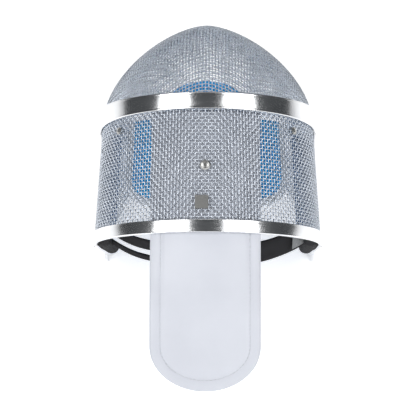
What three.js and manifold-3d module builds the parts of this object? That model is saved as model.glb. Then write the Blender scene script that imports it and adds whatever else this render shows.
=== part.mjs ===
// Fencing mask: a woven steel face and crown on polished bands, with pads, a tongue and a rear strap.
// Millimetres. The mask stands on its throat band: +Z is up, +Y the way the face looks, +X the right.
//
// The shell is drawn in the crown's own frame, in which the crown is a level barrel vault:
// x across, y forward along the vault, z up, with the zero at the top of the joining band.
// The whole group is then pitched up about X until the throat band lies flat.
import * as THREE from "three";
import { mergeVertices } from "three/addons/utils/BufferGeometryUtils.js";
import Module from "manifold-3d";

const wasm = await Module();
wasm.setup();

// Driving sizes, in the crown's frame.
const PITCH = THREE.MathUtils.degToRad(30); // how far the vault is tipped up when the mask stands
const JOIN_RADIUS = 100; // crown arch under the joining band
const RIM_RADIUS = 107.5; // crown arch at the rear rim
const VAULT_DEPTH = 112; // joining band to the middle of the rear rim
const JAW_DROP = 195; // vault top down to the jaw corner of the rim
const BAND_TURN = 95; // depth below which the joining band bends back to the jaw
const BAND_BEND = 1.8; // how sharply it bends back
const SIDE_TAPER = 7; // how far each side wall draws in at the jaw
const FACE_ROUNDNESS = 1.7; // exponent of the face's level sections: 2 is an ellipse, less is keeled
const MESH_THICK = 2; // two crossed wires of 1 mm

// The keel, from the joining band over the brow and the nose to below the chin: [forward, up].
const KEEL = [
  [0, 0],
  [27, -1.8],
  [50, -9.4],
  [70, -22.6],
  [80, -41],
  [87, -76],
  [88, -112],
  [82, -150],
  [62, -192],
  [25, -232],
  [-21, -256.5],
  [-60, -268],
];

const BAND_THICK = 1.5;
const JOIN_HALF = 7.7; // half the joining band's width at the top
const JOIN_SPREAD = 3.4; // what it gains by the time it reaches the side
const RIM_HALF = 5.9;
const THROAT_HEIGHT = 12;
const THROAT_THICK = 3;
const GAP = 0.3;

const TONGUE_HALF = 49;
const TONGUE_FRONT = -10;
const TONGUE_FLAT_RADIUS = 420; // how nearly flat the tongue lies beyond the rim
const TONGUE_LEAST = 0.0004; // keeps the tip from closing to a point
const TONGUE_TIP_START = 0.15; // where the rounded end takes over from the straight sides
const HOOK_INNER = 80; // the hook tab shows only at the strap's right end
const HOOK_OUTER = 91.5;
const HOOK_WIDTH = 20;
const TONGUE_TIP = -256;
const TONGUE_ROUND = 39; // length of its half-elliptical end
const TONGUE_TOP = -3; // below the outside of the crown mesh
const TONGUE_THICK = 4.5;
const TONGUE_SAG = 16; // how far the tip droops below the vault's top

const SCREW_FORWARD = -58;
const BADGE = { x: -3, forward: -91, side: 12, thick: 0.9 };
const EYELET = { angle: 51.5, forward: -20 };

const PAD_TOP = -12.6;
const PAD_THICK = 6;
const SIDE_PAD_TOP = -3;
const SIDE_PAD_THICK = 6;

const STRAP_THICK = 2;
const STRAP_LEVEL = 68; // underside of the rear strap above the floor
const STRAP_WIDTH = 32;

const MATERIALS = {
  mesh: { color: 0xa9b0b8, metalness: 0.9, roughness: 0.35 },
  polished: { color: 0xd6d9dc, metalness: 1, roughness: 0.12 },
  vinyl: { color: 0xeceef2, metalness: 0, roughness: 0.45 },
  blue: { color: 0x2a72b5, metalness: 0, roughness: 0.9 },
  grey: { color: 0x9aa0a6, metalness: 0, roughness: 0.9 },
  black: { color: 0x141416, metalness: 0, roughness: 0.8 },
};

const pose = new THREE.Matrix4().makeRotationX(PITCH);
const FLOOR = -VAULT_DEPTH * Math.sin(PITCH) - JAW_DROP * Math.cos(PITCH);

// --- The mask's surface ---------------------------------------------------------------------

function lerp(a, b, f) {
  return a + (b - a) * f;
}

function crownRadius(y) {
  return lerp(JOIN_RADIUS, RIM_RADIUS, Math.max(0, -y) / VAULT_DEPTH);
}

// Half the width of the crown and side walls at a point forward y and up z.
function halfWidth(y, z) {
  const r = crownRadius(y);
  if (z > -r) return Math.sqrt(Math.max(0, -z * (2 * r + z)));
  return r - SIDE_TAPER * ((-r - z) / (JAW_DROP - r)) ** 2;
}

// Where the face's wire starts on the side: level with the band, then back to the jaw.
function joinLine(z) {
  const below = Math.max(0, -z - BAND_TURN) / (JAW_DROP - BAND_TURN);
  return -VAULT_DEPTH * Math.min(1, below) ** BAND_BEND;
}

const keelCurve = new THREE.SplineCurve(KEEL.map(([y, z]) => new THREE.Vector2(y, z)));
const keelSamples = keelCurve.getSpacedPoints(400);

function keelAt(z) {
  if (z >= 0) return 0;
  const after = keelSamples.findIndex((p) => p.y <= z);
  const p = keelSamples[after];
  const q = keelSamples[after - 1];
  return lerp(q.x, p.x, (q.y - z) / (q.y - p.y));
}

// A point of the face: at height z, turned from -90 to 90 degrees across the keel.
function facePoint(z, turn) {
  const base = joinLine(z);
  const across = Math.sin(turn);
  const power = 2 / FACE_ROUNDNESS;
  const x = halfWidth(base, z) * Math.sign(across) * Math.abs(across) ** power;
  const y = base + (keelAt(z) - base) * Math.cos(turn) ** power;
  return new THREE.Vector3(x, y, z);
}

// A point of the crown at a given forward place, an angle from the top of the arch.
function crownPoint(y, angle) {
  const r = crownRadius(y);
  return new THREE.Vector3(r * Math.sin(angle), y, r * (Math.cos(angle) - 1));
}

function sidePoint(side, y, z) {
  return new THREE.Vector3(side * halfWidth(y, z), y, z);
}

// --- Building solids ------------------------------------------------------------------------

// An open patch through a table of points, rows by columns, facing its outer side.
function patch(rows) {
  const columns = rows[0].length;
  const index = [];
  for (let i = 0; i + 1 < rows.length; i++) {
    for (let j = 0; j + 1 < columns; j++) {
      const a = i * columns + j;
      const b = a + columns;
      index.push(a, b, a + 1, b, b + 1, a + 1);
    }
  }
  const loose = new THREE.BufferGeometry().setFromPoints(rows.flat());
  loose.setIndex(index);
  const merged = mergeVertices(loose, 1e-3);
  const kept = [];
  for (let i = 0; i < merged.index.count; i += 3) {
    const [a, b, c] = [0, 1, 2].map((k) => merged.index.getX(i + k));
    if (a !== b && b !== c && c !== a) kept.push(a, b, c);
  }
  merged.setIndex(kept);
  merged.computeVertexNormals();
  return merged;
}

// The closed solid between two offsets of an open patch, top over bottom along its normals.
function thicken(surface, top, bottom) {
  const p = surface.getAttribute("position");
  const n = surface.getAttribute("normal");
  const points = [];
  for (const lift of [top, bottom]) {
    for (let i = 0; i < p.count; i++) {
      const normal = new THREE.Vector3().fromBufferAttribute(n, i);
      points.push(new THREE.Vector3().fromBufferAttribute(p, i).addScaledVector(normal, lift));
    }
  }
  const faces = surface.index.array;
  const edges = new Map();
  const index = [];
  for (let i = 0; i < faces.length; i += 3) {
    const [a, b, c] = [faces[i], faces[i + 1], faces[i + 2]];
    index.push(a, b, c, a + p.count, c + p.count, b + p.count);
    for (const [from, to] of [[a, b], [b, c], [c, a]]) {
      if (!edges.delete(to + "," + from)) edges.set(from + "," + to, [from, to]);
    }
  }
  for (const [from, to] of edges.values()) {
    index.push(from, from + p.count, to, to, from + p.count, to + p.count);
  }
  const solid = new THREE.BufferGeometry().setFromPoints(points);
  solid.setIndex(index);
  return solid;
}

function toManifold(geometry) {
  const bare = new THREE.BufferGeometry();
  bare.setAttribute("position", geometry.getAttribute("position"));
  if (geometry.index) bare.setIndex(geometry.index);
  const merged = mergeVertices(bare, 1e-3);
  const triVerts = new Uint32Array(merged.index.array);
  const vertProperties = new Float32Array(merged.getAttribute("position").array);
  return new wasm.Manifold(new wasm.Mesh({ numProp: 3, vertProperties, triVerts }));
}

function fromManifold(solid) {
  const mesh = solid.getMesh();
  const geometry = new THREE.BufferGeometry();
  geometry.setAttribute("position", new THREE.BufferAttribute(mesh.vertProperties, 3));
  geometry.setIndex(new THREE.BufferAttribute(mesh.triVerts, 1));
  return geometry;
}

function cut(geometry, ...tools) {
  let solid = toManifold(geometry);
  for (const tool of tools) solid = solid.subtract(toManifold(tool));
  return fromManifold(solid);
}

// Everything lower than a height above the floor, as a block in the crown's frame.
function belowFloor(height) {
  const block = new THREE.BoxGeometry(400, 800, 200);
  block.translate(0, 0, FLOOR + height - 100);
  return block.applyMatrix4(pose.clone().invert());
}

// Moves a geometry made about the origin, its axis along Z, to stand on the crown's outside.
function onCrown(geometry, y, angle) {
  const at = crownPoint(y, angle);
  return geometry.applyMatrix4(new THREE.Matrix4().makeRotationY(angle)).translate(at.x, at.y, at.z);
}

function drill(radius, y, angle) {
  const bit = new THREE.CylinderGeometry(radius, radius, 40, 20).rotateX(Math.PI / 2);
  return onCrown(bit, y, angle);
}

// Numbers from first to last in equal steps.
function steps(first, last, count) {
  return Array.from({ length: count + 1 }, (_, i) => lerp(first, last, i / count));
}

const QUARTER = Math.PI / 2;
const eyeletAngle = THREE.MathUtils.degToRad(EYELET.angle);

// --- The steel ------------------------------------------------------------------------------

function frontMesh() {
  const arch = steps(0, QUARTER, 15).map((angle) => JOIN_RADIUS * (Math.cos(angle) - 1));
  const heights = [...arch, ...steps(-JOIN_RADIUS, -264, 12).slice(1)];
  const turns = steps(QUARTER, -QUARTER, 26);
  const skin = patch(heights.map((z) => turns.map((turn) => facePoint(z, turn))));
  return cut(thicken(skin, 0, -MESH_THICK), belowFloor(THROAT_HEIGHT + GAP));
}

// Rows of points round the crown, from the left jaw over the top to the right jaw. At each height
// down the sides, and over the arch, sideRow and archRow give one row from the rear to the front.
function overTheTop(lowest, sideRow, archRow, sideSteps, archSteps) {
  const heights = steps(-lowest, -RIM_RADIUS - 1, sideSteps);
  const arch = steps(-QUARTER, QUARTER, archSteps);
  return [
    ...heights.map((z) => sideRow(-1, z)),
    ...arch.map((angle) => archRow(angle)),
    ...heights.toReversed().map((z) => sideRow(1, z)),
  ];
}

function crownMesh() {
  const rear = -VAULT_DEPTH - 3;
  const seam = 1.2;
  const sideRow = (sign, z) => steps(rear, joinLine(z) - seam, 4).map((y) => sidePoint(sign, y, z));
  const archRow = (angle) => steps(rear, -seam, 4).map((y) => crownPoint(y, angle));
  const skin = patch(overTheTop(JAW_DROP - 4, sideRow, archRow, 7, 36));
  const holes = [drill(3.3, SCREW_FORWARD, 0)];
  for (const side of [-1, 1]) holes.push(drill(2.6, EYELET.forward, side * eyeletAngle));
  return cut(thicken(skin, 0, -MESH_THICK), belowFloor(THROAT_HEIGHT + GAP), ...holes);
}

// The polished strip over the seam of face and crown, turned back along the seam to the jaw.
function joiningBand() {
  const half = (angle) => JOIN_HALF + JOIN_SPREAD * (Math.abs(angle) / QUARTER) ** 2;
  const sideRow = (sign, z) => {
    const slope = joinLine(z + 0.5) - joinLine(z - 0.5);
    const across = new THREE.Vector2(1, -slope).normalize();
    return steps(-half(QUARTER), half(QUARTER), 2).map((v) => {
      return sidePoint(sign, joinLine(z) + v * across.x, z + v * across.y);
    });
  };
  const archRow = (angle) => {
    return steps(-half(angle), half(angle), 2).map((y) => crownPoint(y, angle));
  };
  const strip = thicken(patch(overTheTop(189, sideRow, archRow, 10, 48)), GAP + BAND_THICK, GAP);
  return cut(strip, belowFloor(THROAT_HEIGHT + GAP), rearOf(-VAULT_DEPTH + RIM_HALF + GAP));
}

// Everything behind a forward place in the crown's frame.
function rearOf(y) {
  return new THREE.BoxGeometry(400, 200, 800).translate(0, y - 100, 0);
}

function rimBand() {
  const across = steps(-VAULT_DEPTH - RIM_HALF, -VAULT_DEPTH + RIM_HALF, 2);
  const sideRow = (sign, z) => across.map((y) => sidePoint(sign, y, z));
  const archRow = (angle) => across.map((y) => crownPoint(y, angle));
  const skin = patch(overTheTop(JAW_DROP + 8, sideRow, archRow, 7, 48));
  return cut(thicken(skin, GAP + BAND_THICK, GAP), belowFloor(THROAT_HEIGHT + GAP));
}

// The point of the face, turned so far across the keel, that stands at a height above the floor.
function facePointAtHeight(height, turn) {
  let high = -JOIN_RADIUS;
  let low = KEEL.at(-1)[1];
  for (let i = 0; i < 40; i++) {
    const z = (high + low) / 2;
    if (facePoint(z, turn).applyMatrix4(pose).z > FLOOR + height) high = z;
    else low = z;
  }
  return facePoint(low, turn).applyMatrix4(pose);
}

// The band that closes the opening under the jaw, and the flat edge that the mask stands on.
function throatBand() {
  const level = FLOOR + THROAT_HEIGHT;
  const wall = (side, y) => sidePoint(side, y, (level - y * Math.sin(PITCH)) / Math.cos(PITCH));
  const corner = facePointAtHeight(THROAT_HEIGHT, QUARTER).applyMatrix4(pose.clone().invert());
  const back = steps(-VAULT_DEPTH - RIM_HALF, corner.y - 3, 3);
  const line = [
    ...back.map((y) => wall(-1, y).applyMatrix4(pose)),
    ...steps(-QUARTER, QUARTER, 64).map((turn) => facePointAtHeight(THROAT_HEIGHT, turn)),
    ...back.toReversed().map((y) => wall(1, y).applyMatrix4(pose)),
  ].map((p) => new THREE.Vector2(p.x, p.y));
  const beside = (offset) => line.map((p, i) => {
    const along = line[Math.min(i + 1, line.length - 1)].clone().sub(line[Math.max(i - 1, 0)]);
    return p.clone().add(new THREE.Vector2(-along.y, along.x).normalize().multiplyScalar(offset));
  });
  const shape = new THREE.Shape([...beside(THROAT_THICK / 2), ...beside(-THROAT_THICK / 2).toReversed()]);
  const ring = new THREE.ExtrudeGeometry(shape, { depth: THROAT_HEIGHT, bevelEnabled: false });
  return ring.translate(0, 0, FLOOR).applyMatrix4(pose.clone().invert());
}

function eyelet(side) {
  const profile = [
    [1.4, -3], [3.2, -3], [3.2, -2.3], [2.3, -2.3], [2.3, 0.3], [3.3, 0.3], [3.3, 0.9], [1.4, 1.2],
  ];
  return onCrown(turned(profile, 24), EYELET.forward, side * eyeletAngle);
}

// A turned part from a closed profile of [radius, height], its axis along Z.
function turned(profile, sides) {
  const points = [...profile, profile[0]].map(([r, z]) => new THREE.Vector2(r, z));
  return new THREE.LatheGeometry(points, sides).rotateX(Math.PI / 2);
}

function tongueScrew() {
  const profile = [
    [0, -8], [2.4, -8], [2.4, 0.4], [4.8, 0.4], [4.8, 1.2], [3.6, 2.6], [1.6, 3], [1.6, 1.4], [0, 1.4],
  ];
  return onCrown(turned(profile, 28), SCREW_FORWARD, 0);
}

function tongueNut() {
  const profile = [[2.7, -11.8], [5, -11.8], [5, -9], [2.7, -9]];
  return onCrown(turned(profile, 6), SCREW_FORWARD, 0);
}

function badgePlate() {
  const plate = new THREE.BoxGeometry(BADGE.side, BADGE.side, BADGE.thick);
  plate.translate(0, 0, BADGE.thick / 2 + 0.5);
  return onCrown(plate, BADGE.forward, BADGE.x / crownRadius(BADGE.forward));
}

// --- The soft pieces ------------------------------------------------------------------------

// A padded plate whose upper face follows the crown, then eases flat and droops past the rim.
function tongue() {
  const middle = (y) => {
    const past = Math.max(0, -VAULT_DEPTH - 6 - y) / (-VAULT_DEPTH - 6 - TONGUE_TIP);
    const bend = lerp(1 / crownRadius(y), 1 / TONGUE_FLAT_RADIUS, Math.min(1, past * 2));
    return { sag: -TONGUE_SAG * past ** 1.3, bend };
  };
  const half = (y) => {
    const into = Math.max(0, TONGUE_TIP + TONGUE_ROUND - y) / TONGUE_ROUND;
    return TONGUE_HALF * Math.sqrt(Math.max(TONGUE_LEAST, 1 - into ** 2));
  };
  const body = steps(TONGUE_FRONT, TONGUE_TIP + TONGUE_ROUND, 20);
  const end = steps(TONGUE_TIP_START, 1, 8).map((f) => TONGUE_TIP + TONGUE_ROUND * (1 - Math.sin(f * QUARTER)));
  const rows = [...body, ...end].toReversed().map((y) => {
    const { sag, bend } = middle(y);
    return steps(-half(y), half(y), 10).map((x) => {
      const radius = 1 / bend;
      return new THREE.Vector3(x, y, sag - (radius - Math.sqrt(radius ** 2 - x ** 2)));
    });
  });
  const skin = patch(rows.map((row) => row.toReversed()));
  return cut(thicken(skin, TONGUE_TOP, TONGUE_TOP - TONGUE_THICK), drill(2.8, SCREW_FORWARD, 0));
}

// A pad lying under the crown or the brow, between two forward lines that depend on the angle.
function archPad(first, last, rearAt, frontAt, top, thick) {
  const rows = steps(first, last, 20).map((angle) => {
    return steps(rearAt(angle), frontAt(angle), 6).map((y) => crownPoint(y, angle));
  });
  return thicken(patch(rows), top, top - thick);
}

function crownPad() {
  const reach = 0.9;
  const corner = (angle) => Math.sqrt(Math.max(0.05, 1 - (Math.abs(angle) / reach) ** 4));
  return archPad(-reach, reach, (a) => -60 - 30 * corner(a), () => -10, PAD_TOP, PAD_THICK);
}

function foreheadPad() {
  const reach = 0.5;
  const front = (angle) => -6 + 28 * Math.sqrt(Math.max(0, 1 - (angle / reach) ** 2));
  return archPad(-reach, reach, () => -9.4, front, PAD_TOP - 2, PAD_THICK);
}

function sidePad(side) {
  const rows = [];
  for (const angle of steps(0.95, QUARTER, 5)) {
    rows.push(steps(-109, -20, 6).map((y) => crownPoint(y, side * angle)));
  }
  for (const z of steps(-RIM_RADIUS - 2, -150, 4)) {
    rows.push(steps(-109, joinLine(z) - 20, 6).map((y) => sidePoint(side, y, z)));
  }
  const skin = patch(side > 0 ? rows : rows.toReversed());
  return thicken(skin, SIDE_PAD_TOP, SIDE_PAD_TOP - SIDE_PAD_THICK);
}

// A stretch of flat elastic standing on edge behind the head, bowed back between its two ends.
function strap(fromX, toX, level, width, offset = 0) {
  const forward = -40.5 - offset;
  const bow = 27;
  const span = 94;
  const line = steps(fromX, toX, 18).map((x) => {
    return new THREE.Vector2(x, forward - bow * (1 - (Math.abs(x) / span) ** 3));
  });
  const inner = line.map((p) => new THREE.Vector2(p.x, p.y + STRAP_THICK));
  const shape = new THREE.Shape([...line, ...inner.toReversed()]);
  const band = new THREE.ExtrudeGeometry(shape, { depth: width, bevelEnabled: false });
  return band.translate(0, 0, FLOOR + level).applyMatrix4(pose.clone().invert());
}

// --- The assembly ---------------------------------------------------------------------------

const mask = new THREE.Group();
mask.applyMatrix4(pose);

function add(name, geometry, material) {
  const mesh = new THREE.Mesh(geometry, new THREE.MeshStandardMaterial(MATERIALS[material]));
  mesh.name = name;
  mask.add(mesh);
}

add("front_mesh", frontMesh(), "mesh");
add("crown_mesh", crownMesh(), "mesh");
add("joining_band", joiningBand(), "polished");
add("rim_band", rimBand(), "polished");
add("throat_band", throatBand(), "polished");
add("eyelet_left", eyelet(-1), "polished");
add("eyelet_right", eyelet(1), "polished");
add("tongue_screw", tongueScrew(), "polished");
add("tongue_nut", tongueNut(), "polished");
add("badge_plate", badgePlate(), "polished");
add("tongue", tongue(), "vinyl");
add("crown_pad", crownPad(), "blue");
add("forehead_pad", foreheadPad(), "blue");
add("side_pad_left", sidePad(-1), "blue");
add("side_pad_right", sidePad(1), "blue");
add("strap_right", strap(-8, 91.5, STRAP_LEVEL, STRAP_WIDTH), "black");
add("strap_left_upper", strap(-91.5, -10, STRAP_LEVEL + 17, 15), "black");
add("strap_left_lower", strap(-91.5, -10, STRAP_LEVEL, 8), "black");
add("hook_tab_right", strap(HOOK_INNER, HOOK_OUTER, STRAP_LEVEL + 6, HOOK_WIDTH, STRAP_THICK + GAP), "grey");

// The standing mask: its throat band on the ground, the middle of its outer box at the zero.
const box = new THREE.Box3().setFromObject(mask, true);
mask.position.set(0, -(box.min.y + box.max.y) / 2, -box.min.z);

const part = new THREE.Group();
part.add(mask);
export default part;
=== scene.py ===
"""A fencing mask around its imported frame: woven wire, polished bands, pads, tongue and strap."""

import math

import bmesh
import bpy
import numpy as np
from mathutils import Matrix, Vector


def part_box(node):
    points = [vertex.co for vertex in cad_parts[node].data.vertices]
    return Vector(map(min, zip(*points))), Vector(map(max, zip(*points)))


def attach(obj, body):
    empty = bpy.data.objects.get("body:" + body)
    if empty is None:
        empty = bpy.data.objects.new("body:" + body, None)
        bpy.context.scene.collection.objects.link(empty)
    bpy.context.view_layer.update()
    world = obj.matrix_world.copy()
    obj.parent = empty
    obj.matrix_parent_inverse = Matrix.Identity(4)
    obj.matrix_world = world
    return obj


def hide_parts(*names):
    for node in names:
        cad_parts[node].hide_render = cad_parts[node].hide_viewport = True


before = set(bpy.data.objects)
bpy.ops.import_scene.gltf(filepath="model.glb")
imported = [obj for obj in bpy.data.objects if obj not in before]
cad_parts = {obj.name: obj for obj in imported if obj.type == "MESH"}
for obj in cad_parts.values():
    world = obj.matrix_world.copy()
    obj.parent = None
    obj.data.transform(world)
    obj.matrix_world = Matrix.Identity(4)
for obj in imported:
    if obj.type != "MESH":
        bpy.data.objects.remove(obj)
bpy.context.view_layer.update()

# --- Sizes, in millimetres in the crown's frame: x across, y forward along the vault, z up, --------
# --- zero at the top of the joining band. place() turns them into the frame's metres. --------------
MM = 0.001
PITCH = math.radians(30)
JOIN_RADIUS = 100.0
RIM_RADIUS = 107.5
MIDDLE_RADIUS = (JOIN_RADIUS + RIM_RADIUS) / 2
VAULT_DEPTH = 112.0
JAW_DROP = 195.0
BAND_TURN = 95.0
BAND_BEND = 1.8
SIDE_TAPER = 7.0
FACE_ROUNDNESS = 1.7
KEEL = [
    (0, 0),
    (27, -1.8),
    (50, -9.4),
    (70, -22.6),
    (80, -41),
    (87, -76),
    (88, -112),
    (82, -150),
    (62, -192),
    (25, -232),
    (-21, -256.5),
    (-60, -268),
]

WIRE = 0.5  # radius
WEAVE = 3.0  # wire to wire, both ways
THROAT_CLEAR = 8  # the wires end this far off the floor, inside the throat band
MESH_MIDDLE = -1.0  # the cloth's middle, under the panel's outer face

JOIN_HALF = 7.7
JOIN_SPREAD = 3.4
RIM_HALF = 5.9
BAND_FACE = 1.8  # the bands' outer face, above the panels'

TONGUE_HALF = 49.0
TONGUE_FRONT = -8.2  # tucked under the joining band
TONGUE_TIP = -256.0
TONGUE_ROUND = 39.0
TONGUE_TOP = -3.0
TONGUE_THICK = 4.5
TONGUE_SAG = 16.0
TONGUE_FLAT_RADIUS = 420.0  # how nearly flat the tongue lies beyond the rim

BADGE_X, BADGE_FORWARD, BADGE_LIFT = -3.0, -91.0, 0.95
PAD_TOP = -12.6
PAD_THICK = 6.0
SIDE_PAD_TOP = -3.0
SIDE_PAD_THICK = 6.0
SIDE_PAD_START = 0.95 * MIDDLE_RADIUS  # runs round the crown from its top
SIDE_PAD_END = 212.0
SIDE_PAD_REAR = -109.0
SIDE_PAD_INSET = 20.0  # behind the seam of face and crown
ROLL_START = 1.28 * MIDDLE_RADIUS
ROLL_END = 232.0
ROLL_REAR = -113.0
ROLL_INWARD = 9.5  # the roll's middle, inside the side wall
ROLL_DEEP = 7.0
ROLL_WIDE = 6.0
STRAP_THICK = 2.0
QUARTER = math.pi / 2


# --- The mask's surface ---------------------------------------------------------------------------


def lerp(a, b, f):
    return a + (b - a) * f


def crown_radius(y):
    return lerp(JOIN_RADIUS, RIM_RADIUS, np.maximum(0, -np.asarray(y, float)) / VAULT_DEPTH)


def half_width(y, z):
    """Half the width of the crown and side walls, forward y and up z."""
    r = crown_radius(y)
    z = np.asarray(z, float)
    arch = np.sqrt(np.maximum(0, -z * (2 * r + z)))
    wall = r - SIDE_TAPER * ((-r - z) / (JAW_DROP - r)) ** 2
    return np.where(z > -r, arch, wall)


def join_line(z):
    """How far forward the seam of face and crown lies on the side, at height z."""
    below = np.clip((-np.asarray(z, float) - BAND_TURN) / (JAW_DROP - BAND_TURN), 0, 1)
    return -VAULT_DEPTH * below**BAND_BEND


def keel_samples(count=60):
    """The keel as a uniform Catmull-Rom curve through its points."""
    p = np.array(KEEL, float)
    out = []
    for i in range(len(p) - 1):
        before, after = p[max(i - 1, 0)], p[min(i + 2, len(p) - 1)]
        t = np.linspace(0, 1, count, endpoint=i == len(p) - 2)[:, None]
        v0, v1 = (p[i + 1] - before) / 2, (after - p[i]) / 2
        rise = p[i + 1] - p[i]
        out.append(p[i] + v0 * t + (3 * rise - 2 * v0 - v1) * t**2 + (v0 + v1 - 2 * rise) * t**3)
    return np.concatenate(out)


KEEL_LINE = keel_samples()


def keel_at(z):
    return np.interp(-np.asarray(z, float), -KEEL_LINE[:, 1], KEEL_LINE[:, 0])


def face_point(q, z):
    """The face at height z, a share q of the way out: 0 is the keel, 1 and -1 are the seams."""
    base = join_line(z)
    wide = half_width(base, z)
    x = q * np.where(z > -JOIN_RADIUS, JOIN_RADIUS, wide)
    share = np.clip(np.abs(x) / np.maximum(wide, 1e-6), 0, 1)
    y = base + (keel_at(z) - base) * (1 - share**FACE_ROUNDNESS) ** (1 / FACE_ROUNDNESS)
    return np.stack(np.broadcast_arrays(x, y, z), -1)


def crown_point(y, angle):
    r = crown_radius(y)
    return np.stack(np.broadcast_arrays(r * np.sin(angle), y, r * (np.cos(angle) - 1)), -1)


def around_point(y, run):
    """The crown and its side walls: run is how far round from the top, at the middle radius."""
    r = crown_radius(y)
    angle = np.asarray(run, float) / MIDDLE_RADIUS
    turn = np.clip(angle, -QUARTER, QUARTER)
    below = (np.abs(angle) - np.abs(turn)) * MIDDLE_RADIUS
    z = r * (np.cos(turn) - 1) - below
    x = np.where(below > 0, np.sign(angle) * half_width(y, z), r * np.sin(turn))
    return np.stack(np.broadcast_arrays(x, y, z), -1)


def unit(v):
    return v / np.maximum(np.linalg.norm(v, axis=-1, keepdims=True), 1e-9)


def outward(p, along, across):
    """Normals from two tangents, turned to face away from the middle of the head."""
    n = unit(np.cross(along, across))
    away = p - np.array([0.0, -15.0, -115.0])
    return n * np.where((n * away).sum(-1, keepdims=True) < 0, -1, 1)


COS, SIN = math.cos(PITCH), math.sin(PITCH)
FLOOR = -VAULT_DEPTH * SIN - JAW_DROP * COS


def tipped(p):
    p = np.asarray(p, float)
    y = p[..., 1] * COS - p[..., 2] * SIN
    z = p[..., 1] * SIN + p[..., 2] * COS - FLOOR
    return np.stack([p[..., 0], y, z], -1)


def find_shift():
    """How far the frame's zero lies from the pivot, read off the badge plate's own middle."""
    low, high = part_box("badge_plate")
    angle = BADGE_X / crown_radius(BADGE_FORWARD)
    lift = BADGE_LIFT * np.array([math.sin(angle), 0, math.cos(angle)])
    here = tipped(crown_point(BADGE_FORWARD, angle) + lift)
    return (low[1] + high[1]) / 2 / MM - here[1]


SHIFT = find_shift()


def place(p):
    """Crown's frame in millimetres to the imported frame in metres."""
    return (tipped(p) + np.array([0, SHIFT, 0])) * MM


def place_direction(v):
    return Vector((v[0], v[1] * COS - v[2] * SIN, v[1] * SIN + v[2] * COS))


# --- Making objects -------------------------------------------------------------------------------


def new_object(name, verts, faces, material):
    mesh = bpy.data.meshes.new(name)
    mesh.from_pydata(np.asarray(verts).tolist(), [], faces)
    mesh.update()
    obj = bpy.data.objects.new(name, mesh)
    bpy.context.scene.collection.objects.link(obj)
    mesh.materials.append(material)
    mesh.polygons.foreach_set("use_smooth", [True] * len(mesh.polygons))
    return obj


def settle(piece, slot, *nodes):
    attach(piece, "root")
    if nodes:
        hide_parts(*nodes)
    return piece


def tubes(name, lines, radius, sides, material):
    """One mesh of round wires. Each line is its points and the surface normals along it, in mm."""
    verts, faces, start = [], [], 0
    turn = np.linspace(0, 2 * math.pi, sides, endpoint=False) + math.pi / sides
    for points, normals in lines:
        along = unit(np.gradient(points, axis=0))
        up = unit(normals - (normals * along).sum(-1, keepdims=True) * along)
        side = np.cross(along, up)
        ring = np.cos(turn)[None, :, None] * up[:, None] + np.sin(turn)[None, :, None] * side[:, None]
        verts.append(place(points[:, None] + radius * ring).reshape(-1, 3))
        count = len(points)
        i, j = np.meshgrid(np.arange(count - 1), np.arange(sides), indexing="ij")
        k = (j + 1) % sides
        quads = np.stack([i * sides + j, (i + 1) * sides + j, (i + 1) * sides + k, i * sides + k], -1)
        faces.extend((quads.reshape(-1, 4) + start).tolist())
        faces.append([start + n for n in range(sides)])
        faces.append([start + (count - 1) * sides + n for n in reversed(range(sides))])
        start += count * sides
    return new_object(name, np.concatenate(verts), faces, material)


def shell(name, top, bottom, material):
    """A closed solid between two grids of points in mm, both rows by columns."""
    rows, columns = top.shape[:2]
    verts = np.concatenate([place(top).reshape(-1, 3), place(bottom).reshape(-1, 3)])
    half = rows * columns
    i, j = np.meshgrid(np.arange(rows - 1), np.arange(columns - 1), indexing="ij")
    a, b = i * columns + j, (i + 1) * columns + j
    upper = np.stack([a, b, b + 1, a + 1], -1).reshape(-1, 4)
    faces = upper.tolist() + (upper[:, ::-1] + half).tolist()
    for k in range(rows - 1):
        near, far = k * columns, (k + 1) * columns
        faces.append([near, near + half, far + half, far])
        near, far = near + columns - 1, far + columns - 1
        faces.append([far, far + half, near + half, near])
    for k in range(columns - 1):
        faces.append([k + 1, k + 1 + half, k + half, k])
        last = (rows - 1) * columns + k
        faces.append([last, last + half, last + 1 + half, last + 1])
    obj = new_object(name, verts, faces, material)
    tidy_normals(obj)
    return obj


def loft(name, rings, material):
    """A closed solid through closed rings of points in mm, capped at both ends."""
    rows, columns = rings.shape[:2]
    i, j = np.meshgrid(np.arange(rows - 1), np.arange(columns), indexing="ij")
    k = (j + 1) % columns
    quads = np.stack([i * columns + j, (i + 1) * columns + j, (i + 1) * columns + k, i * columns + k], -1)
    faces = quads.reshape(-1, 4).tolist()
    faces.append(list(range(columns)))
    faces.append([(rows - 1) * columns + n for n in reversed(range(columns))])
    obj = new_object(name, place(rings).reshape(-1, 3), faces, material)
    tidy_normals(obj)
    return obj


def tidy_normals(obj):
    """Turns a closed mesh's faces outwards."""
    bm = bmesh.new()
    bm.from_mesh(obj.data)
    bmesh.ops.remove_doubles(bm, verts=bm.verts, dist=1e-6)
    bmesh.ops.recalc_face_normals(bm, faces=bm.faces)
    bm.to_mesh(obj.data)
    bm.free()


# --- Materials ------------------------------------------------------------------------------------


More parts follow.
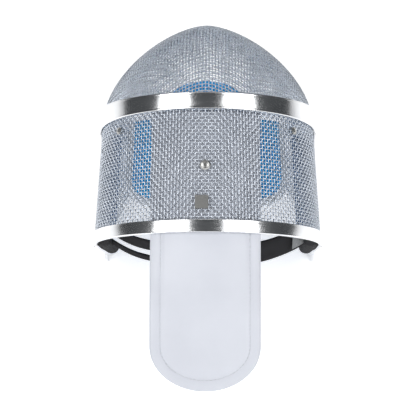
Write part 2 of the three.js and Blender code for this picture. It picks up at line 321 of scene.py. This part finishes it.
class Nodes:
    """A material's node tree, with one call per node."""

    def __init__(self, name):
        self.material = bpy.data.materials.new(name)
        self.material.use_nodes = True
        self.tree = self.material.node_tree
        self.shader = self.tree.nodes["Principled BSDF"]
        self.coords = self.tree.nodes.new("ShaderNodeTexCoord").outputs["Object"]

    def set(self, **values):
        for key, value in values.items():
            self.shader.inputs[key.replace("_", " ")].default_value = value
        return self

    def link(self, source, target):
        self.tree.links.new(source, target)

    def stretch(self, scale):
        node = self.tree.nodes.new("ShaderNodeMapping")
        node.inputs["Scale"].default_value = scale
        self.link(self.coords, node.inputs["Vector"])
        return node.outputs["Vector"]

    def noise(self, scale, detail=3.0, vector=None):
        node = self.tree.nodes.new("ShaderNodeTexNoise")
        node.inputs["Scale"].default_value = scale
        node.inputs["Detail"].default_value = detail
        self.link(vector or self.coords, node.inputs["Vector"])
        return node.outputs["Fac"]

    def cells(self, scale):
        node = self.tree.nodes.new("ShaderNodeTexVoronoi")
        node.inputs["Scale"].default_value = scale
        self.link(self.coords, node.inputs["Vector"])
        return node.outputs["Distance"]

    def ribs(self, scale, axis):
        node = self.tree.nodes.new("ShaderNodeTexWave")
        node.bands_direction = axis
        node.inputs["Scale"].default_value = scale
        self.link(self.coords, node.inputs["Vector"])
        return node.outputs["Fac"]

    def math(self, operation, a, b):
        node = self.tree.nodes.new("ShaderNodeMath")
        node.operation = operation
        for socket, value in zip(node.inputs, (a, b)):
            if isinstance(value, (int, float)):
                socket.default_value = value
            else:
                self.link(value, socket)
        return node.outputs[0]

    def ramp(self, source, stops):
        node = self.tree.nodes.new("ShaderNodeValToRGB")
        ramp = node.color_ramp
        while len(ramp.elements) < len(stops):
            ramp.elements.new(0.5)
        for element, (position, colour) in zip(ramp.elements, stops):
            element.position = position
            element.color = (*colour, 1)
        self.link(source, node.inputs["Fac"])
        return node.outputs["Color"]

    def spread(self, source, low, high):
        node = self.tree.nodes.new("ShaderNodeMapRange")
        node.inputs["To Min"].default_value = low
        node.inputs["To Max"].default_value = high
        self.link(source, node.inputs["Value"])
        return node.outputs["Result"]

    def colour(self, source, dark, light, low=0.35, high=0.65):
        self.link(self.ramp(source, [(low, dark), (high, light)]), self.shader.inputs["Base Color"])
        return self

    def rough(self, source, low, high):
        self.link(self.spread(source, low, high), self.shader.inputs["Roughness"])
        return self

    def bump(self, source, height, strength=1.0):
        node = self.tree.nodes.new("ShaderNodeBump")
        node.inputs["Distance"].default_value = height
        node.inputs["Strength"].default_value = strength
        self.link(source, node.inputs["Height"])
        self.link(node.outputs["Normal"], self.shader.inputs["Normal"])
        return self


def wire_steel():
    m = Nodes("woven_steel").set(Metallic=1.0)
    m.colour(m.noise(90), (0.53, 0.57, 0.63), (0.62, 0.66, 0.72))
    m.rough(m.noise(900, 2), 0.20, 0.36)
    return m.bump(m.noise(2600, 2), 0.00003).material


def polished_steel():
    m = Nodes("polished_steel").set(Metallic=1.0)
    m.colour(m.noise(45), (0.76, 0.77, 0.79), (0.90, 0.91, 0.92))
    m.rough(m.noise(320, 5, m.stretch((0.2, 3.0, 3.0))), 0.10, 0.24)
    return m.bump(m.noise(700, 4, m.stretch((0.1, 2.0, 2.0))), 0.00003).material


def screw_steel():
    m = Nodes("screw_steel").set(Metallic=1.0)
    m.colour(m.noise(1600), (0.40, 0.40, 0.39), (0.54, 0.54, 0.53))
    return m.rough(m.noise(2400), 0.24, 0.38).material


def white_vinyl():
    m = Nodes("white_vinyl").set(Coat_Weight=0.12, Coat_Roughness=0.35, Specular_IOR_Level=0.45)
    m.colour(m.noise(14, 4), (0.58, 0.60, 0.66), (0.64, 0.66, 0.72))
    m.rough(m.noise(260), 0.38, 0.55)
    grain = m.math("ADD", m.cells(1100), m.math("MULTIPLY", m.noise(380), 0.6))
    return m.bump(grain, 0.00007, 0.8).material


def knit(name, dark, light, pitch, sheen=0.25):
    """A closely knitted cover: fine cross ribs under a soft nap."""
    m = Nodes(name).set(Sheen_Weight=sheen, Sheen_Roughness=0.5, Specular_IOR_Level=0.2)
    weave = m.math("MULTIPLY", m.ribs(pitch, "X"), m.ribs(pitch, "Z"))
    patches = m.math("MULTIPLY", m.noise(35, 5), 0.8)
    threads = m.math("MULTIPLY", weave, 0.25)
    m.colour(m.math("ADD", patches, threads), dark, light)
    m.rough(m.noise(700), 0.78, 0.95)
    return m.bump(m.math("ADD", weave, m.noise(1800)), 0.00012, 0.8).material


def black_elastic():
    m = Nodes("black_elastic").set(Sheen_Weight=0.04, Sheen_Roughness=0.4, Specular_IOR_Level=0.12)
    ribs = m.ribs(260, "Z")
    wear = m.math("ADD", m.noise(60), m.math("MULTIPLY", ribs, 0.2))
    m.colour(wear, (0.004, 0.004, 0.005), (0.016, 0.016, 0.019))
    m.rough(m.noise(900), 0.6, 0.85)
    cross_ribs = m.math("MULTIPLY", m.ribs(900, "X"), 0.5)
    return m.bump(m.math("ADD", ribs, cross_ribs), 0.00025).material


def hook_tape():
    m = Nodes("grey_hook_tape").set(Sheen_Weight=0.4, Specular_IOR_Level=0.3)
    m.colour(m.cells(1500), (0.07, 0.075, 0.08), (0.20, 0.21, 0.22), 0.1, 0.6)
    return m.bump(m.cells(1500), 0.0004).material


def pale_floor():
    m = Nodes("floor").set(Roughness=0.7, Specular_IOR_Level=0.2)
    m.set(Emission_Color=(1, 1, 1, 1), Emission_Strength=0.55)
    return m.colour(m.noise(1.5), (0.93, 0.93, 0.935), (0.95, 0.95, 0.95)).material


WIRE_STEEL = wire_steel()
POLISHED = polished_steel()
SCREW_STEEL = screw_steel()
VINYL = white_vinyl()
BLUE = knit("blue_fabric", (0.010, 0.34, 0.80), (0.025, 0.48, 0.94), 420, 0.08)
# The side pads' blue fabric again, made darker as painted shade.
SHADED_BLUE = knit("blue_fabric_painted_shade", (0.005, 0.06, 0.18), (0.010, 0.10, 0.28), 420, 0.05)
BINDING = knit("grey_binding", (0.60, 0.63, 0.66), (0.80, 0.83, 0.87), 700)
THREAD = knit("thread", (0.52, 0.54, 0.58), (0.70, 0.72, 0.76), 900, 0.1)
BLACK = black_elastic()
HOOK = hook_tape()


# --- Woven wire -----------------------------------------------------------------------------------


def runs_of(valid):
    """The stretches of True in a row of flags, as slices of at least three."""
    edges = np.flatnonzero(np.diff(np.concatenate([[0], valid.astype(int), [0]])))
    return [slice(a, b) for a, b in zip(edges[::2], edges[1::2]) if b - a >= 3]


def weave(points, normals, valid, fine):
    """Wires both ways through a grid that holds fine samples a pitch: warps, then wefts."""
    count_i, count_j = points.shape[:2]
    step_i = (np.arange(count_i) - count_i // 2) / fine
    step_j = (np.arange(count_j) - count_j // 2) / fine
    wave = WIRE * np.cos(math.pi * step_i)[:, None] * np.cos(math.pi * step_j)[None, :]
    warps, wefts = [], []
    for i in range(count_i // 2 % fine, count_i, fine):
        line = points[i] + normals[i] * (MESH_MIDDLE + wave[i])[:, None]
        warps += [(line[r], normals[i][r]) for r in runs_of(valid[i])]
    for j in range(count_j // 2 % fine, count_j, fine):
        line = points[:, j] + normals[:, j] * (MESH_MIDDLE - wave[:, j])[:, None]
        wefts += [(line[r], normals[:, j][r]) for r in runs_of(valid[:, j])]
    return warps, wefts


def face_grid(fine):
    """The face's wires: planes across, and equal runs up and down from its widest level."""
    columns = int(JOIN_RADIUS * QUARTER / WEAVE) * fine
    rows = 64 * fine
    points = np.full((2 * columns + 1, 2 * rows + 1, 3), np.nan)
    normals = np.zeros_like(points)
    step = np.linspace(0, 1, 900)
    runs = (np.arange(2 * rows + 1) - rows) * WEAVE / fine
    for i in range(2 * columns + 1):
        q = math.sin((i - columns) * WEAVE / fine / JOIN_RADIUS)
        top = JOIN_RADIUS * (math.sqrt(1 - q * q) - 1)
        z = lerp(top, -262.0, step**1.7)
        line = face_point(q, z)
        length = np.concatenate([[0], np.cumsum(np.linalg.norm(np.diff(line, axis=0), axis=1))])
        middle = np.interp(JOIN_RADIUS, -z, length)
        here = middle + runs
        inside = (here >= 0) & (here <= length[-1])
        level = np.interp(here, length, z)
        p = face_point(q, level)
        down = face_point(q, level - 0.2) - p
        out = 0.004 if q < 0.5 else -0.004
        across = (face_point(q + out, level - 0.05) - p) * np.sign(out)
        points[i][inside] = p[inside]
        normals[i][inside] = outward(p, down, across)[inside]
    above_floor = tipped(np.nan_to_num(points))[..., 2]
    valid = ~np.isnan(points[..., 0]) & (above_floor > THROAT_CLEAR)
    return np.nan_to_num(points), normals, valid


def crown_grid(fine):
    columns = 86 * fine
    rows = 19 * fine
    run = (np.arange(2 * columns + 1) - columns) * WEAVE / fine
    forward = -VAULT_DEPTH / 2 + (np.arange(2 * rows + 1) - rows) * WEAVE / fine
    u, y = np.meshgrid(run, forward, indexing="ij")
    points = around_point(y, u)
    along = around_point(y + 0.1, u) - points
    across = around_point(y, u + 0.1) - points
    normals = outward(points, along, across)
    above_floor = tipped(points)[..., 2]
    valid = (y < join_line(points[..., 2]) + 0.5) & (above_floor > THROAT_CLEAR) & (y > -VAULT_DEPTH - 4.5)
    return points, normals, valid


def woven_panel(name, grid, node):
    fine = 2
    warps, wefts = weave(*grid(fine), fine)
    settle(tubes(name + "_warp", warps, WIRE, 5, WIRE_STEEL), "woven_steel", node)
    settle(tubes(name + "_weft", wefts, WIRE, 5, WIRE_STEEL), "woven_steel", node)


woven_panel("face_wire", face_grid, "front_mesh")
woven_panel("crown_wire", crown_grid, "crown_mesh")


# --- Bands ----------------------------------------------------------------------------------------


def seam_stations(count):
    """Angles from the left jaw over the arch to the right: past a quarter turn it is run down."""
    lowest = 190.0
    wall = np.linspace(lowest, JOIN_RADIUS, count // 4, endpoint=False)
    arch = np.linspace(-QUARTER, QUARTER, count)
    return [(-1, z) for z in wall] + [(0, a) for a in arch] + [(1, z) for z in wall[::-1]]


def band_rings(stations, row, profile):
    """Rings of a strip's section, given as (share across, height), along its stations."""
    rings = []
    for station in stations:
        line, normal = row(station, np.array([v for v, _ in profile]))
        rings.append(line + normal * np.array([h for _, h in profile])[:, None])
    return np.array(rings)


def strip_profile(face=BAND_FACE, thick=1.1, bead=0.35, crown=0.25, samples=10):
    """A pressed strip: a slightly crowned face, a bead along each edge and a flat back."""
    top = []
    for v in np.linspace(-1, 1, samples * 2 + 1):
        edge = max(0.0, (abs(v) - 0.82) / 0.18)
        swell = crown * (1 - v * v)
        roll = bead * math.sin(math.pi * min(1, edge))
        top.append((v * (1 - 0.02 * edge), face + swell + roll - 0.5 * edge**4))
    back = [(v, face - thick) for v in np.linspace(0.985, -0.985, 7)]
    return top + back


def joining_row(station, share):
    side, where = station
    if side == 0:
        half = JOIN_HALF + JOIN_SPREAD * (abs(where) / QUARTER) ** 2
        return crown_point(half * share, where), unit(np.array([math.sin(where), 0, math.cos(where)]))
    half = JOIN_HALF + JOIN_SPREAD
    z = -where
    slope = join_line(z + 0.5) - join_line(z - 0.5)
    across = unit(np.array([1.0, -slope]))
    y = join_line(z) + half * share * across[0]
    height = z + half * share * across[1]
    p = np.stack([side * half_width(y, height), y, height], -1)
    return p, np.array([side, 0, 0])


def rim_row(station, share):
    side, where = station
    y = -VAULT_DEPTH + RIM_HALF * share
    if side == 0:
        return crown_point(y, where), np.array([math.sin(where), 0, math.cos(where)])
    height = np.full_like(y, -where)
    return np.stack([side * half_width(y, height), y, height], -1), np.array([side, 0, 0])


def rim_profile():
    """The rim's strip folded round the cloth's edge: its face, the slot's walls, then its inside."""
    inner = -3.4
    face = strip_profile(bead=0.2)[:21]
    slot_top = [(0.97, 0.4), (0.4, 0.35), (-0.55, 0.3), (-0.78, 0.0)]
    slot_bottom = [(-0.86, -1.2), (-0.78, -2.2), (-0.5, -2.35), (0.5, -2.35)]
    inside = [(0.52, inner + 0.3), (0.4, inner), (-0.6, inner), (-0.95, inner + 0.9)]
    fold = [(-1.04, -1.0), (-1.04, 0.4)]
    return face + slot_top + slot_bottom + inside + fold


def bands():
    stations = seam_stations(200)
    rings = band_rings(stations, joining_row, strip_profile())
    joining = loft("joining_strip", rings, POLISHED)
    settle(joining, "polished_steel", "joining_band")
    rings = band_rings(stations, rim_row, rim_profile())
    rim = loft("rim_strip", rings, POLISHED)
    settle(rim, "polished_steel", "rim_band")


bands()


# --- The tongue -----------------------------------------------------------------------------------


def tongue_surface(x, y):
    leaves_rim = -VAULT_DEPTH - 6
    past = np.maximum(0, leaves_rim - y) / (leaves_rim - TONGUE_TIP)
    radius = 1 / lerp(1 / crown_radius(y), 1 / TONGUE_FLAT_RADIUS, np.minimum(1, past * 2))
    z = -TONGUE_SAG * past**1.3 - (radius - np.sqrt(radius**2 - x**2))
    return np.stack(np.broadcast_arrays(x, y, z), -1)


def tongue_edge(inset, count):
    """The tongue's outline drawn in by an inset: up the left side, round the tip, up the right."""
    half, round_ = TONGUE_HALF - inset, TONGUE_ROUND - inset
    centre = TONGUE_TIP + TONGUE_ROUND
    turn = np.linspace(0, math.pi, count)
    tip = np.stack([-half * np.cos(turn), centre - round_ * np.sin(turn)], -1)
    side = np.linspace(TONGUE_FRONT, centre, count, endpoint=False)
    left = np.stack([np.full(count, -half), side], -1)
    right = np.stack([np.full(count, half), side[::-1]], -1)
    return np.concatenate([left, tip, right])


def tongue_sway(y, inset):
    """The slight waves in the vinyl, fading out toward the bound edge."""
    return 0.25 * np.sin(y / 17) * min(1, inset / 20)


def tongue():
    """Vinyl over a spring: bound edge, a sunk stitch line and a softly filled middle."""
    count = 90
    bound_edge = [(0, -2.2), (0.1, -0.9), (0.7, -0.2), (2, 0.1), (5, 0.2), (8, 0.05)]
    stitch_line = [(9.2, -0.55), (9.8, -0.6), (11, -0.1)]
    middle = [(15, 0.25), (24, 0.35), (34, 0.35)]
    rows_top, rows_bottom = [], []
    for inset, lift in bound_edge + stitch_line + middle:
        edge = tongue_edge(inset, count)
        p = tongue_surface(edge[:, 0], edge[:, 1])
        top = p + np.array([0, 0, 1]) * (TONGUE_TOP + lift + tongue_sway(edge[:, 1], inset))[:, None]
        rows_top.append(top)
        rows_bottom.append(p + np.array([0, 0, TONGUE_TOP - TONGUE_THICK - lift * 0.5]))
    top = np.array(rows_top)
    bottom = np.array(rows_bottom)
    rings = np.concatenate([bottom[::-1], top])
    count_r, count_c = rings.shape[:2]
    faces = []
    for r in range(count_r - 1):
        for c in range(count_c - 1):
            a = r * count_c + c
            faces.append([a, a + 1, a + 1 + count_c, a + count_c])
    for base in (0, (count_r - 1) * count_c):
        for c in range(count_c // 2):
            left, right = base + c, base + count_c - 1 - c
            if right - left > 1:
                loop = [left, left + 1, right - 1, right]
                faces.append(loop if base == 0 else loop[::-1])
    left_ends = [r * count_c for r in range(count_r)]
    right_ends = [first + count_c - 1 for first in reversed(left_ends)]
    faces.append(left_ends + right_ends)
    obj = new_object("tongue_cover", place(rings).reshape(-1, 3), faces, VINYL)
    tidy_normals(obj)
    settle(obj, "white_vinyl", "tongue")
    return obj


def stitches(name, line, normals, length, gap, radius, material):
    """Short threads end to end along a line of points in mm."""
    run = np.concatenate([[0], np.cumsum(np.linalg.norm(np.diff(line, axis=0), axis=1))])
    threads = []
    for start in np.arange(gap, run[-1] - length, length + gap):
        at = start + length * np.array([0, 0.2, 0.5, 0.8, 1.0])
        p = np.stack([np.interp(at, run, line[:, k]) for k in range(3)], -1)
        n = np.stack([np.interp(at, run, normals[:, k]) for k in range(3)], -1)
        p = p + n * (radius * np.array([-0.6, 0.5, 0.9, 0.5, -0.6]))[:, None]
        threads.append((p, n))
    return tubes(name, threads, radius, 5, material)


def tongue_stitches():
    """The stitches that sit in the tongue's sunk line."""
    inset, sunk = 9.5, 0.6
    edge = tongue_edge(inset, 240)
    line = tongue_surface(edge[:, 0], edge[:, 1])
    line[:, 2] += TONGUE_TOP - sunk + tongue_sway(edge[:, 1], inset)
    up = np.tile(np.array([0.0, 0, 1]), (len(line), 1))
    settle(stitches("tongue_stitches", line, up, 2.4, 1.2, 0.3, THREAD), "white_vinyl")


tongue()
tongue_stitches()


# --- Pads -----------------------------------------------------------------------------------------


def pad(name, surface, rows, columns, top, thick, node, edge=5.0, cover=BLUE):
    """A quilted pad on a patch: surface(u, v) with u and v from 0 to 1 gives points and normals."""
    u = (1 - np.cos(np.linspace(0, math.pi, rows))) / 2
    v = (1 - np.cos(np.linspace(0, math.pi, columns))) / 2
    uu, vv = np.meshgrid(u, v, indexing="ij")
    p, n = surface(uu, vv)
    rim = np.minimum(np.minimum(uu, 1 - uu) * rows, np.minimum(vv, 1 - vv) * columns)
    fullness = 1 - np.exp(-rim / edge * 4)
    swell = 0.6 * np.sin(math.pi * uu) ** 0.5 * np.sin(math.pi * vv) ** 0.5
    upper = p + n * (top - thick / 2 + (thick / 2 + swell - 0.6) * fullness)[..., None]
    lower = p + n * (top - thick / 2 - (thick / 2) * fullness)[..., None]
    obj = shell(name, upper, lower, cover)
    settle(obj, "blue_fabric", node)
    return obj


def arch_patch(reach, rear, front):
    def surface(u, v):
        angle = lerp(-reach, reach, u)
        y = lerp(rear(angle), front(angle), v)
        p = crown_point(y, angle)
        n = np.stack(np.broadcast_arrays(np.sin(angle), 0, np.cos(angle)), -1)
        return p, n

    return surface


CROWN_REACH = 0.9


def crown_rear(angle):
    return -60 - 30 * np.sqrt(np.maximum(0.05, 1 - (np.abs(angle) / CROWN_REACH) ** 4))


def crown_front(angle):
    return -10 + 0 * angle


BROW_REACH = 0.5


def brow_front(angle):
    return -6 + 28 * np.sqrt(np.maximum(0, 1 - (angle / BROW_REACH) ** 2))


def brow_rear(angle):
    return -9.4 + 0 * angle


def side_patch(side):
    def surface(u, v):
        run = lerp(SIDE_PAD_START, SIDE_PAD_END, u)
        reach = around_point(np.full_like(u, -60.0), run)[..., 2]
        y = lerp(SIDE_PAD_REAR, join_line(reach) - SIDE_PAD_INSET, v)
        p = around_point(y, side * run)
        along = around_point(y + 0.1, side * run) - p
        across = around_point(y, side * run + 0.1) - p
        return p, outward(p, along, across)

    return surface


def pads():
    crown = arch_patch(CROWN_REACH, crown_rear, crown_front)
    pad("crown_cushion", crown, 60, 40, PAD_TOP, PAD_THICK, "crown_pad")
    brow = arch_patch(BROW_REACH, brow_rear, brow_front)
    pad("brow_cushion", brow, 40, 16, PAD_TOP - 2, PAD_THICK, "forehead_pad", 3.0)
    for side, name in ((-1, "left"), (1, "right")):
        node = "side_pad_" + name
        patch = side_patch(side)
        # the side pads take the blue fabric darkened with painted shade
        pad("side_cushion_" + name, patch, 50, 40, SIDE_PAD_TOP, SIDE_PAD_THICK, node, cover=SHADED_BLUE)


def crown_binding():
    """The pale tape sewn round the crown pad."""
    turn = np.linspace(-CROWN_REACH, CROWN_REACH, 90)
    rear = np.stack([crown_rear(turn), turn], -1)
    forward = np.linspace(-12, crown_rear(-CROWN_REACH), 20, endpoint=False)
    left = np.stack([forward, np.full(20, -CROWN_REACH)], -1)
    right = left[::-1] * np.array([1, -1])
    line = np.concatenate([left, rear, right])
    p = crown_point(line[:, 0], line[:, 1])
    n = np.stack([np.sin(line[:, 1]), 0 * line[:, 1], np.cos(line[:, 1])], -1)
    along = unit(np.gradient(p, axis=0))
    side = np.cross(along, n)
    turn = np.linspace(0, 2 * math.pi, 14, endpoint=False)
    wide, thick = 4.2, 3.0
    middle = p + n * (PAD_TOP - PAD_THICK / 2 + 1.4)
    across = side[:, None] * (wide * np.cos(turn))[None, :, None]
    deep = n[:, None] * (thick * np.sin(turn))[None, :, None]
    rings = middle[:, None] + across + deep
    settle(loft("crown_pad_binding", rings, BINDING), "grey_binding")


def edge_roll(side, name):
    """The black padded roll that closes a side pad's rear end and carries the strap."""
    run = np.linspace(ROLL_START, ROLL_END, 60)
    middle = around_point(np.full_like(run, ROLL_REAR), side * run)
    along = unit(np.gradient(middle, axis=0))
    back = np.tile(np.array([0.0, -1.0, 0.0]), (len(run), 1))
    inward = np.cross(along, back)
    inward *= np.where((inward[:, :1] * side) > 0, -1, 1)
    middle = middle + inward * ROLL_INWARD
    turn = np.linspace(0, 2 * math.pi, 18, endpoint=False)
    full = np.clip(np.sin(np.linspace(0.12, math.pi - 0.12, len(run))) * 1.8, 0, 1)[:, None, None]
    deep = inward[:, None] * (ROLL_DEEP * np.cos(turn))[None, :, None]
    wide = back[:, None] * (ROLL_WIDE * np.sin(turn))[None, :, None]
    roll = loft("edge_roll_" + name, middle[:, None] + (deep + wide) * full, BLACK)
    settle(roll, "black_elastic")


pads()
crown_binding()
edge_roll(-1, "left")
edge_roll(1, "right")


# --- The rear strap -------------------------------------------------------------------------------

STRAP_LEVEL = 68.0
STRAP_WIDTH = 32.0
STRAP_ENDS = -40.5  # how far forward the ends are
STRAP_BOW = 27.0
STRAP_SPAN = 94.0
STRAP_END = 91.5


def untip(p):
    """A point measured across, forward and up from the floor, back into the crown's frame."""
    y, z = p[..., 1], p[..., 2] + FLOOR
    return np.stack([p[..., 0], y * COS + z * SIN, z * COS - y * SIN], -1)


def strap(name, first, last, level, width, offset, material, slot, node):
    """A strap across the back: from x first to x last, its lower edge at a level off the floor."""
    x = np.linspace(first, last, 90)
    y = STRAP_ENDS - offset - STRAP_BOW * (1 - (np.abs(x) / STRAP_SPAN) ** 3)
    ripple = 0.5 * np.sin(x / 9.0)
    share = np.linspace(0, 2 * math.pi, 20, endpoint=False)
    corner = 0.35
    across = np.sign(np.cos(share)) * np.abs(np.cos(share)) ** corner
    deep = np.sign(np.sin(share)) * np.abs(np.sin(share)) ** corner
    rings = np.stack(
        np.broadcast_arrays(
            x[:, None],
            (y + STRAP_THICK / 2)[:, None] + deep[None] * STRAP_THICK / 2,
            level + width / 2 + ripple[:, None] + across[None] * width / 2,
        ),
        -1,
    )
    piece = loft(name, untip(rings), material)
    settle(piece, slot, node)
    return piece


elastic = "black_elastic"
strap("strap_wide", -8, STRAP_END, STRAP_LEVEL, STRAP_WIDTH, 0, BLACK, elastic, "strap_right")
strap("strap_upper", -STRAP_END, -10, STRAP_LEVEL + 17, 15, 0, BLACK, elastic, "strap_left_upper")
strap("strap_lower", -STRAP_END, -10, STRAP_LEVEL, 8, 0, BLACK, elastic, "strap_left_lower")
strap("strap_tab", 80, STRAP_END, STRAP_LEVEL + 6, 20, 2.3, HOOK, "grey_hook_tape", "hook_tab_right")


# --- The CAD nodes that stay ----------------------------------------------------------------------


def dress(node, material):
    obj = bpy.data.objects[node]
    obj.data.materials.clear()
    obj.data.materials.append(material)


for kept in ("eyelet_left", "eyelet_right", "tongue_screw", "tongue_nut", "badge_plate"):
    dress(kept, SCREW_STEEL)
dress("throat_band", POLISHED)


# --- Stage ----------------------------------------------------------------------------------------


def floor():
    size = 30.0
    bpy.ops.mesh.primitive_plane_add(size=size, location=(0, 0, 0))
    plane = bpy.context.object
    plane.name = "floor"
    plane.data.materials.append(pale_floor())


def softbox(name, around, lean, away, width, height, power):
    """A soft light seen from the crown's middle, turned round the vault and leant forward."""
    aim = np.array([0.0, -60.0, -60.0])
    turn, tip = math.radians(around), math.radians(lean)
    toward = np.array([math.sin(turn) * math.cos(tip), math.sin(tip), math.cos(turn) * math.cos(tip)])
    data = bpy.data.lights.new(name, "AREA")
    data.shape = "RECTANGLE"
    data.size = width
    data.size_y = height
    data.energy = power
    lamp = bpy.data.objects.new(name, data)
    axis_z = place_direction(toward).normalized()
    axis_y = place_direction((0, 1, 0))
    axis_y = (axis_y - axis_y.dot(axis_z) * axis_z).normalized()
    axis_x = axis_y.cross(axis_z)
    turned = Matrix((axis_x, axis_y, axis_z)).transposed().to_4x4()
    lamp.matrix_world = Matrix.Translation(Vector(place(aim + toward * away))) @ turned
    bpy.context.scene.collection.objects.link(lamp)


def camera():
    """From behind and above, square to the crown, a long lens a little to the right."""
    rise = math.radians(81.8)
    away = 1250.0
    aim = np.array([0.4, -96.5 + 14.4, -100.0])
    back = np.array([0.022, -math.cos(rise), math.sin(rise)])
    back = back / np.linalg.norm(back)
    eye = place(aim + back * (away + 100.0))
    data = bpy.data.cameras.new("camera")
    data.sensor_width = 36.0
    data.lens = 18.0 / math.tan(math.radians(16.62 / 2))
    obj = bpy.data.objects.new("camera", data)
    axis_z = place_direction(back)
    axis_x = place_direction((1, 0, 0))
    axis_x = (axis_x - axis_x.dot(axis_z) * axis_z).normalized()
    axis_y = axis_z.cross(axis_x)
    turn = Matrix((axis_x, axis_y, axis_z)).transposed()
    obj.matrix_world = Matrix.Translation(Vector(eye)) @ turn.to_4x4()
    bpy.context.scene.collection.objects.link(obj)
    bpy.context.scene.camera = obj


def studio():
    floor()
    for name, side in (("left_box", -1), ("right_box", 1)):
        softbox(name, side * 34, -6, 1600.0, 0.95, 1.5, 16)
    softbox("brow_box", 0, 52, 1500.0, 1.6, 0.7, 5)
    world = bpy.data.worlds.new("world")
    world.use_nodes = True
    background = world.node_tree.nodes["Background"]
    background.inputs["Color"].default_value = (0.90, 0.95, 1.0, 1)
    background.inputs["Strength"].default_value = 0.07
    bpy.context.scene.world = world
    bpy.context.scene.view_settings.view_transform = "Standard"


camera()
studio()
